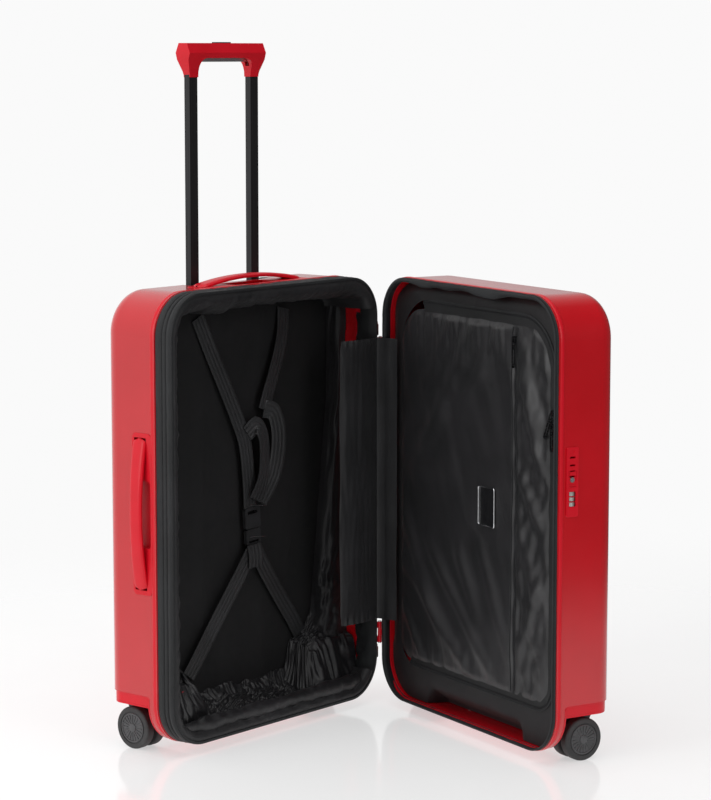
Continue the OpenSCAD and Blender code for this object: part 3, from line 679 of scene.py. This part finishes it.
def make_spine_curtain():
    """The lining on the spine side: a slack curtain from the hidden hem to the back, with long folds."""

    def at(a, b):
        z = mix(CURTAIN_TOP, CURTAIN_FOOT, a)
        low = 1 - (z - CURTAIN_FOOT) / (CURTAIN_TOP - CURTAIN_FOOT)
        foot_u = mix(-4, 62, low) + 10 * ease(low, 0.86, 1.0)
        u0 = 5 + 3 * wobble(z / 60, 0.1)
        n0 = 60 + 3 * wobble(z / 45, 3.1)
        u, n = mix(u0, max(16, foot_u), b), mix(n0, 91, b)
        middle = math.sin(math.pi * b)
        fold = 7 * wobble(b * 2.2 + 0.9 * low, z / 210, 2) + 2.2 * wobble(b * 6 + z / 95, z / 60, 5)
        crumple = ease(low, 0.62, 0.95) * (5 * wobble(b * 5, z / 19, 1) + 3 * wobble(b * 9, z / 11, 3))
        bulge = middle * (9 + 14 * low + fold + crumple)
        return u + bulge * 0.75, n - bulge * 0.62, z

    made = BACK.sheet("spine_curtain", at, 170, 44)
    add(made, "back", LINING, "lining_cloth")


def crumple(made, frames, grow, pins, quality=6):
    """Lets a slack sheet of cloth fall into folds: its cloth is grow larger than the space it lies in."""
    group = made.vertex_groups.new(name="pinned")
    group.add(pins, 1.0, "REPLACE")
    cloth = made.modifiers.new("cloth", "CLOTH")
    settings = cloth.settings
    settings.quality = quality
    settings.mass = 0.12
    settings.tension_stiffness = settings.compression_stiffness = 12
    settings.shear_stiffness = 4
    settings.bending_stiffness = 0.08
    settings.shrink_min = -grow
    settings.vertex_group_mass = "pinned"
    cloth.collision_settings.use_self_collision = True
    cloth.collision_settings.self_distance_min = 0.0016
    cloth.collision_settings.distance_min = 0.0015
    cloth.point_cache.frame_start, cloth.point_cache.frame_end = 1, frames + 1
    scene = bpy.context.scene
    for moment in range(1, frames + 1):
        scene.frame_set(moment)
    graph = bpy.context.evaluated_depsgraph_get()
    settled = bpy.data.meshes.new_from_object(made.evaluated_get(graph), depsgraph=graph)
    made.modifiers.clear()
    made.vertex_groups.clear()
    made.data = settled
    scene.frame_set(1)
    finish_shading(made, 180)


def make_lining_floor():
    """The lining's foot, which lies in crumples over the bottom and the wheel wells."""
    left, right = CASE_W - 16, 9

    def at(a, b):
        u, n = mix(left, right, b), mix(22, 90, a)
        over_wheel = by_wheel(u, 104, 122) * ease(n, 30, 44)
        z = FLOOR + 23 + 10 * ease(n, 60, 88)
        z += 9 * wobble(u / 48, n / 34, 3) + 5 * wobble(u / 20, n / 16, 5) + 14 * ease(n, 78, 90)
        z = mix(z, max(z + 30, HOUSING_TOP + 9 + 6 * (1 + wobble(u / 26, n / 20, 9))), over_wheel)
        z += 38 * math.exp(-((u - 52) / 26) ** 2) * ease(n, 50, 88)
        return u, n, z

    rows, columns = 52, 190
    made = BACK.sheet("lining_floor", at, rows, columns)
    edge = [r * columns + c for r in range(rows) for c in range(columns)
            if r in (0, rows - 1) or c in (0, columns - 1)]
    crumple(made, 26, 0.16, edge)
    clamp_floor(made)
    subdivide(made, 1)
    add(made, "back", LINING_GLOSS, "lining_cloth")


def clamp_floor(made):
    """Keeps the settled cloth off the shell below it and inside the mouth."""
    for vertex in made.data.vertices:
        u, n, z = BACK.out(vertex.co)
        over_wheel = (u < 98 or u > CASE_W - 98) and n > 46
        lowest = HOUSING_TOP + 3 if over_wheel else FLOOR + 12
        vertex.co = BACK.at(min(CASE_W - 9, max(7, u)), min(92, max(8, n)), min(178, max(lowest, z)))
    made.data.update()


def subdivide(made, levels):
    level = made.modifiers.new("smooth", "SUBSURF")
    level.levels = level.render_levels = levels
    graph = bpy.context.evaluated_depsgraph_get()
    finer = bpy.data.meshes.new_from_object(made.evaluated_get(graph), depsgraph=graph)
    made.modifiers.clear()
    made.data = finer
    finish_shading(made, 180)


def make_foot_hem():
    """The wide rolled hem along the bottom of the mouth."""

    def at(a, b):
        u = mix(CASE_W - 20, 34, b)
        ends = 1 - ease(abs(b - 0.5), 0.40, 0.5)
        around = math.radians(mix(-150, 175, a))
        size = 8.5 + 2.6 * wobble(u / 60, 0.5, 2) + 1.0 * wobble(u / 14, a * 3, 6)
        n = 12.5 + size * 0.8 * math.cos(around) * -1 + 1.2 * wobble(u / 22, a * 2, 1)
        z = FLOOR + 24 + 3 * (1 - ends) + size * 1.25 * math.sin(around)
        return u, n, z

    made = BACK.sheet("foot_hem", at, 26, 150)
    add(made, "back", LINING_GLOSS, "lining_cloth")


# ---------------------------------------------------------------- packing straps and their buckle


def make_straps():
    """Four webbing straps that cross behind a buckle, two of them with loops."""
    runs = [
        ("strap_upper_outer", 0.0, [(307, 90, 616), (284, 87, 566), (252, 85, 505), (226, 83, 452),
                                    (214, 82, 420), (207, 82, 372), (204, 82, 324)]),
        ("strap_upper_inner", 0.1, [(117, 90, 616), (127, 84, 575), (147, 81, 528), (165, 79, 492),
                                    (175, 78, 468)]),
        ("strap_loop_outer", 0.2, [(211, 80, 436), (196, 74, 447), (184, 71, 425), (186, 70, 372),
                                   (201, 73, 336)]),
        ("strap_loop_inner", -0.2, [(176, 78, 470), (157, 74, 462), (150, 71, 424), (160, 72, 372),
                                    (186, 76, 330)]),
        ("strap_lower_outer", 0.0, [(205, 79, 256), (232, 79, 223), (280, 80, 166), (322, 81, 114),
                                    (340, 83, 90)]),
        ("strap_lower_inner", 0.0, [(191, 82, 258), (170, 83, 226), (132, 85, 176), (104, 86, 140),
                                    (84, 88, 112)]),
        ("strap_tail", 0.0, [(201, 77, 268), (200, 74, 252), (199, 75, 234)]),
    ]
    for i, (name, twist, route) in enumerate(runs):
        width = 31 if name == "strap_tail" else 27
        made = ribbon(BACK, name, route, width, 1.3, twist)
        add(made, "back", WEBBING, "webbing", *(["straps"] if i == 0 else []))
    for name, z in (("buckle_bar_upper", 326), ("buckle_bar_lower", 279)):
        made = wire(BACK, name, [(216, 71.5, z + 3.5), (180, 71.5, z - 1)], 0.8)
        add(made, "back", CHROME, "steel")


def wire(half, name, path, radius, sides=10, closed=False):
    """A round wire or cord through (u, n, z) points."""
    points = []
    count = len(path)
    for i, p in enumerate(path):
        ahead = Vector(path[(i + 1) % count if closed else min(i + 1, count - 1)]) \
            - Vector(path[(i - 1) % count if closed else max(i - 1, 0)])
        side = ahead.cross(Vector((0.13, 0.97, 0.21))).normalized()
        face = side.cross(ahead).normalized()
        for k in range(sides):
            t = 2 * math.pi * k / sides
            points.append(tuple(Vector(p) + (side * math.cos(t) + face * math.sin(t)) * radius))
    faces = grid_faces(count, sides, wrap_rows=closed, wrap_columns=True)
    if not closed:
        faces += [tuple(range(sides))[::-1], tuple((count - 1) * sides + k for k in range(sides))]
    return half.mesh(name, points, faces, 50)


# ---------------------------------------------------------------- the flap over the hinge


def make_flap():
    """One sheet from the back lining over the hinge to the front half."""
    low, high = (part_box("spine_flap_back")[k].z / MM for k in (0, 1))

    def at(a, b):
        z = mix(low, high, a)
        edge = max(ease(a, 0.965, 1.0), 1 - ease(a, 0, 0.05))
        if b < 0.62:
            t = b / 0.62
            u = mix(86 - 3 * edge + 2.0 * wobble(z / 120, 1), 3, t)
            bow = 5.2 * math.sin(math.pi * t ** 0.8)
            tuck = edge * 2.2 * wobble(u / 6, 1, 1)
            tuck += 1.2 * wobble(u / 26, z / 150, 3) + 0.5 * wobble(u / 8, z / 40, 6)
            n = mix(5, 0.2, t) - bow - tuck
            return BACK.at(u, n, z)
        t = (b - 0.62) / 0.38
        u, n = mix(1, 30, t), mix(-1, 9.5, t) + 0.9 * wobble(z / 90, t * 2, 4) - 1.5 * math.sin(math.pi * t)
        spot = FRONT.at(u, n, z)
        if t < 0.3:
            near = BACK.at(3, 0.2, z)
            return near.lerp(spot, ease(t, 0, 0.3))
        return spot

    made = grid_mesh("hinge_flap", at, 150, 96)
    face_outward(made, 180)
    paint(made, FLAP)
    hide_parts("spine_flap_back", "spine_flap_front")
    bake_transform(made)


# ---------------------------------------------------------------- the front half's divider

# the divider's cloth, and round it the line of its zip
DIV = {"u": (28, 428), "z": (78, 618), "top_r": 64, "foot_r": 36, "n": 18}
COIL = {"u": (30, 438), "z": (70, 633), "top_r": 80, "foot_r": 42}
POCKET_U = 337
PATCH_AT, PATCH_SIZE = (269, 345), (41, 57)


def coil_line(step=4.0):
    """The divider's zip, round the divider: its top corners are wider than its foot's."""
    (u0, u1), (z0, z1) = COIL["u"], COIL["z"]
    upper, lower = outline(u0, u1, z0, z1, COIL["top_r"], step), outline(u0, u1, z0, z1, COIL["foot_r"], step)
    middle = (z0 + z1) / 2
    head = [p for p in upper if p[1] >= middle and (p[2] > -0.999 or p is upper[0])]
    tail = [p for p in upper[1:] if p[1] >= middle and p[2] < -0.999]
    joined = head + [p for p in lower if p[1] < middle] + tail
    run, path = 0.0, []
    for i, p in enumerate(joined):
        path.append((*p[:4], run))
        run += math.dist(p[:2], joined[(i + 1) % len(joined)][:2])
    return path


def from_top(rows):
    """The rows again, beginning with the one nearest the middle of the top."""
    first = min(range(len(rows)), key=lambda i: math.dist(rows[i][:2], (CASE_W / 2, TOP)))
    return rows[first:] + rows[:first]


def make_border():
    """The plain cloth between the shell's wall and the divider's zip, with the zip's outer tape."""
    outer, inner = rim(5), coil_line()
    count = 420
    a, b = (from_top(even(line, length_of(line) / count)) for line in (outer, inner))
    rows = 8

    def point(i, j):
        t = j / (rows - 1)
        (u0, z0, nu, nz), (u1, z1, _, _) = a[i % len(a)], b[i % len(b)]
        between_wheels = ease(-nz, 0.5, 1.0) * ease(u0, 98, 114) * (1 - ease(u0, CASE_W - 114, CASE_W - 98))
        at_wheel = (1 - ease(z0, 90, 106)) * (1 - between_wheels)
        wall = mix(27, 22, ease(-nu, 0.4, 0.95)) + 3 * ease(nz, 0.5, 1.0)
        start = mix(mix(wall, 51, between_wheels), 19.5, at_wheel)
        u, z = mix(u0 - nu * 4.2, u1, t), mix(z0 - nz * 4.2, z1, t)
        n = mix(start, DIV["n"], ease(t, 0, 0.6)) + 1.3 * wobble(i / 9, t * 2, 3) * math.sin(math.pi * t)
        return u, n, z

    points = [point(i, j) for i in range(count) for j in range(rows)]
    made = FRONT.mesh("divider_border", points, grid_faces(count, rows, wrap_rows=True), 180)
    add(made, "front", BORDER, "lining_cloth", "divider_zip", "front_lining")


def make_divider_zip():
    """The divider's zip: its tape, its coil and the piping along one of its edges."""
    path = coil_line()
    foot = max(i for i, p in enumerate(path) if p[2] > -0.5)
    run = path[12:foot]
    n = DIV["n"]
    profile = [(-1.0, n + 0.9), (-1.2, n - 0.6), (0.6, n - 0.9), (3.2, n - 1.5), (4.2, n - 1.3),
               (5.2, n - 1.5), (8, n - 0.9), (18, n - 0.4), (18, n + 0.9)]
    made = sweep(FRONT, "divider_tape", profile, run, closed=False, ring=False, smooth=60)
    add(made, "front", ZIP_TAPE, "zip_nylon")
    coil = [(u - nu * 4.2, z - nz * 4.2, nu, nz, r) for u, z, nu, nz, r in run]
    add(teeth_flat(FRONT, "divider_teeth", coil, n - 1.7), "front", ZIP, "zip_nylon")
    line = [(u, n - 1.1, z) for u, z, _, _, _ in run]
    add(wire(FRONT, "divider_piping", line, 0.9, 8), "front", GUSSET, "zip_nylon")


def length_of(path):
    return sum(math.dist(p[:2], q[:2]) for p, q in zip(path, list(path[1:]) + [path[0]]))


def ridge(u, z, start, end, width, height):
    """A soft fold along a line from start to end, both (u, z)."""
    s, e, p = np.array(start, float), np.array(end, float), np.array((u, z))
    d = e - s
    t = float((p - s) @ d / (d @ d))
    off = float(d[0] * (p - s)[1] - d[1] * (p - s)[0]) / math.hypot(*d)
    ends = ease(t, -0.15, 0.25) * (1 - ease(t, 0.75, 1.15))
    return height * ends * math.exp(-(off / width) ** 2)


# the divider's folds: start, end, width and height
FOLDS = [
    ((262, 640), (76, 373), 21, 6.9), ((200, 640), (100, 500), 16, 3.6), ((330, 640), (190, 472), 15, 3.9),
    ((24, 330), (175, 90), 15, 5.1), ((20, 250), (246, 74), 13, 6.3), ((110, 270), (300, 82), 14, 6.6),
    ((36, 168), (104, 80), 9, 4.5), ((190, 280), (256, 160), 15, 4.8), ((250, 300), (330, 120), 13, 3.9),
    ((150, 420), (240, 230), 30, 3.6), ((400, 470), (362, 600), 13, 5.4), ((356, 560), (408, 400), 12, 6.3),
    ((352, 400), (412, 330), 11, 4.8), ((350, 330), (404, 215), 14, 4.5), ((410, 260), (352, 140), 12, 5.1),
]


def pocket_u(z):
    """Where the pocket's zip lies at height z: it hangs in slack bends, and turns out at its top."""
    return POCKET_U + 1.2 * math.sin(z / 52) + 8 * ease(z, 602, 626)


def divider_depth(u, z):
    """How far the divider's cloth stands from its plane, towards the mouth."""
    out = sum(ridge(u, z, *fold) for fold in FOLDS)
    pleats = ease(z, 520, 622) * 1.8 * wobble(u / 11, z / 190, 2)
    pleats += ease(-z, -150, -84) * 1.2 * wobble(u / 13, z / 120, 5)
    pocket_side = ease(u, 330, 345)
    small = 1.3 * wobble(u / 34 + z / 90, z / 70, 1) + pocket_side * 1.8 * wobble(u / 15, z / 26, 7)
    seam = -2.6 * math.exp(-((u - pocket_u(z)) / 4.5) ** 2)
    flat = 1 - math.exp(-(((u - PATCH_AT[0]) / 34) ** 4 + ((z - PATCH_AT[1]) / 46) ** 4))
    return out * flat + pleats + small * flat + seam + 2.2


def make_divider():
    """The zipped divider's cloth, with the folds that pull across it and its pocket zip; the cloth lies flat where
    the patch goes.
    """
    (u0, u1), (z0, z1) = DIV["u"], DIV["z"]
    rows, columns = 230, 170

    def at(a, b):
        z = mix(z0, z1, a)
        near = min(z - z0, z1 - z)
        r = DIV["top_r"] if z1 - z < z - z0 else DIV["foot_r"]
        turn = corner_inset(near, r)
        u = mix(u0 + turn, u1 - turn, b)
        edge = min(ease(u, u0 + turn, u0 + turn + 16), 1 - ease(u, u1 - turn - 12, u1 - turn),
                   ease(near, 0, 12))
        return u, DIV["n"] + 0.2 - edge * divider_depth(u, z), z

    made = FRONT.sheet("divider_cloth", at, rows, columns)
    add(made, "divider", DIVIDER, "lining_cloth", "divider_panel")

    def pocket(z):
        return pocket_u(z), DIV["n"] - divider_depth(pocket_u(z), z) - 0.3, z

    foot, head = 84, 614
    count = int((head - foot) / TOOTH_PITCH)
    spots = [(pocket(foot + TOOTH_PITCH * k), (0, 0, 1), (1, 0, 0)) for k in range(count)]
    add(tooth_row(FRONT, "pocket_teeth", spots, width=3.2), "divider", ZIP, "zip_nylon", "pocket_zip")
    for name, off in (("pocket_tape_left", -6), ("pocket_tape_right", 6)):
        line = []
        for z in range(foot, head + 1, 4):
            u = pocket_u(z) + off
            line.append((u, DIV["n"] - divider_depth(u, z) - 0.2, z))
        add(wire(FRONT, name, line, 0.6, 8), "divider", GUSSET, "zip_nylon")


def rounded_slab(half, name, at, size, radius, n0, n1, bevel=0.6):
    """A plate with rounded corners and bevelled edges, centred at (u, z)."""
    (cu, cz), (w, h) = at, size
    profile = [(bevel * 1.6, n0), (bevel * 0.4, n0 + (n1 - n0) * 0.15), (0, n0 + (n1 - n0) * 0.45), (0, n1)]
    path = outline(cu - w / 2, cu + w / 2, cz - h / 2, cz + h / 2, radius, 8, 6)
    points, faces = [], grid_faces(len(path), 4, wrap_rows=True)
    for u, z, nu, nz, _ in path:
        points += [(u - nu * i, n, z - nz * i) for i, n in profile]
    faces.append(tuple(range(0, len(path) * 4, 4)))
    faces.append(tuple(range(3, len(path) * 4, 4))[::-1])
    return half.mesh(name, points, faces, 35)


def make_patch():
    """A plain dark patch in a thin bright frame."""
    n = DIV["n"] - 3.2
    plate = rounded_slab(FRONT, "patch_plate", PATCH_AT, PATCH_SIZE, 2.5, n - 0.6, n + 1.2)
    add(plate, "divider", PATCH, "patch_metal", "pocket_patch")
    (u, z), (w, h) = PATCH_AT, PATCH_SIZE
    edge = outline(u - w / 2, u + w / 2, z - h / 2, z + h / 2, 3, 6, 6)
    line = [(u, n - 0.7, z) for u, z, _, _, _ in edge]
    add(wire(FRONT, "patch_frame", line, 1.1, 10, closed=True), "divider", CHROME, "patch_metal")


# ---------------------------------------------------------------- wheels


def make_hub(name, half, u_face, n, z, side, body):
    """A hub cap with raised fins round its middle, on a wheel's outer face."""
    ring = [(21.6, 0.0), (21.6, 0.9), (20.8, 1.5), (19.4, 1.5), (18.8, 0.5), (6.6, 0.3), (6.2, 1.3),
            (5.2, 1.7), (0.01, 1.7)]
    count, fins = 72, 20
    points = []
    for k in range(count):
        t = 2 * math.pi * k / count
        points += [(u_face + side * h, n + r * math.cos(t), z + r * math.sin(t)) for r, h in ring]
    faces = grid_faces(count, len(ring), wrap_rows=True)
    for k in range(fins):
        t = 2 * math.pi * k / fins
        out = np.array((0, math.cos(t), math.sin(t)))
        over = np.array((0, -math.sin(t), math.cos(t)))
        base = len(points)
        inner, outer = (7.0, 18.6) if k % 2 else (9.5, 18.6)
        for r, half_w, h in ((inner, 0.55, 0.2), (outer, 1.15, 0.2), (outer, 0.7, 1.35), (inner, 0.3, 1.1)):
            for s in (-1, 1):
                p = np.array((u_face, n, z)) + out * r + over * half_w * s + np.array((side * h, 0, 0))
                points.append(tuple(p))
        faces += [(base, base + 1, base + 3, base + 2), (base + 2, base + 3, base + 5, base + 4),
                  (base + 4, base + 5, base + 7, base + 6), (base + 6, base + 7, base + 1, base),
                  (base, base + 2, base + 4, base + 6), (base + 1, base + 7, base + 5, base + 3)]
    made = half.mesh(name, points, faces, 35)
    add(made, body, HUB, "wheel_rubber")


def make_wheels():
    """A hub cap on each side of each twin wheel: half the gap, a tyre's width, less the tyre's hollow."""
    reach = 4.6 + 14.5 - 1.0
    for half in (BACK, FRONT):
        for place in ("outer", "inner"):
            body = f"wheels_{half.body}_{place}"
            axle = half.out(JOINTS[f"roll_{half.body}_{place}"]["pos_m"])
            for side in (-1, 1):
                name = f"hub_{half.body}_{place}_{'out' if side > 0 else 'in'}"
                make_hub(name, half, axle[0] + side * reach, axle[1], axle[2], side, body)


# ---------------------------------------------------------------- carry handles


def make_carry_handle(name, node, body, place):
    """A flat strap handle with bevelled edges and rounded ends that arches out of its tray."""
    length, width, low, rise = 218, 24, 3.0, 14.2
    rows, sides = 60, 12
    points = []
    for r in range(rows):
        a = r / (rows - 1)
        x = mix(-length / 2, length / 2, a)
        arch = low + (rise - low) * (1 - (2 * a - 1) ** 2) ** 0.9 if 0 < a < 1 else low
        near = min(x + length / 2, length / 2 - x)
        w = width * (math.sqrt(max(0.02, 1 - (1 - near / 7) ** 2)) if near < 7 else 1)
        w *= 1 - 0.10 * math.cos(math.pi * (2 * a - 1) / 2) ** 2
        under = arch - mix(6.4, 5.6, math.sin(math.pi * a)) if near > 16 else 0.4
        left = [(-w / 2, under + 0.8), (-w / 2, arch - 2.6), (-w / 2 + 1.6, arch - 1.0),
                (-w / 2 + 3.4, arch - 0.3), (-w / 5, arch)]
        section = left + [(-y, h) for y, h in reversed(left)] + [(w / 2 - 1.2, under), (-w / 2 + 1.2, under)]
        points += [place(x, y, h) for y, h in section]
    faces = grid_faces(rows, sides, wrap_columns=True)
    faces += [tuple(range(sides))[::-1], tuple((rows - 1) * sides + k for k in range(sides))]
    made = BACK.mesh(name, points, faces, 38)
    add(made, body, RED_PLASTIC, "red_plastic", node)


def make_handles():
    """The handle on the top and the one on the side, both at the same depth."""
    depth, side_z = 62, 350

    def on_top(x, y, h):
        return CASE_W / 2 + x, depth + y, TOP - 1 + h

    def on_side(x, y, h):
        return CASE_W - 1 + h, depth + y, side_z - x

    make_carry_handle("top_handle_bar", "top_handle", "top_handle", on_top)
    make_carry_handle("side_handle_bar", "side_handle", "side_handle", on_side)


def soften(*nodes, width=0.7):
    """Rounds the edges of CAD nodes as they are drawn, without touching their meshes."""
    for node in nodes:
        made = frame["nodes"][node]
        weld = made.modifiers.new("weld", "WELD")
        weld.merge_threshold = 0.00001
        bevel = made.modifiers.new("bevel", "BEVEL")
        bevel.width = width * MM
        bevel.segments = 3
        bevel.limit_method = "ANGLE"
        bevel.angle_limit = math.radians(32)
        bevel.harden_normals = False
        made.modifiers.new("normals", "WEIGHTED_NORMAL").keep_sharp = False


make_camera()
make_studio()
for part in frame["record"]["subparts"]:
    paint(frame["nodes"][part["node"]], BY_SLOT[part["material_slot"]])
make_rims()
make_gusset()
make_front_tape()
make_lining_walls()
make_lining_back()
make_spine_curtain()
make_lining_floor()
make_foot_hem()
make_straps()
make_flap()
make_border()
make_divider_zip()
make_divider()
make_patch()
make_wheels()
make_handles()
soften("grip", "strap_buckle", "lock_body", "handle_trays")
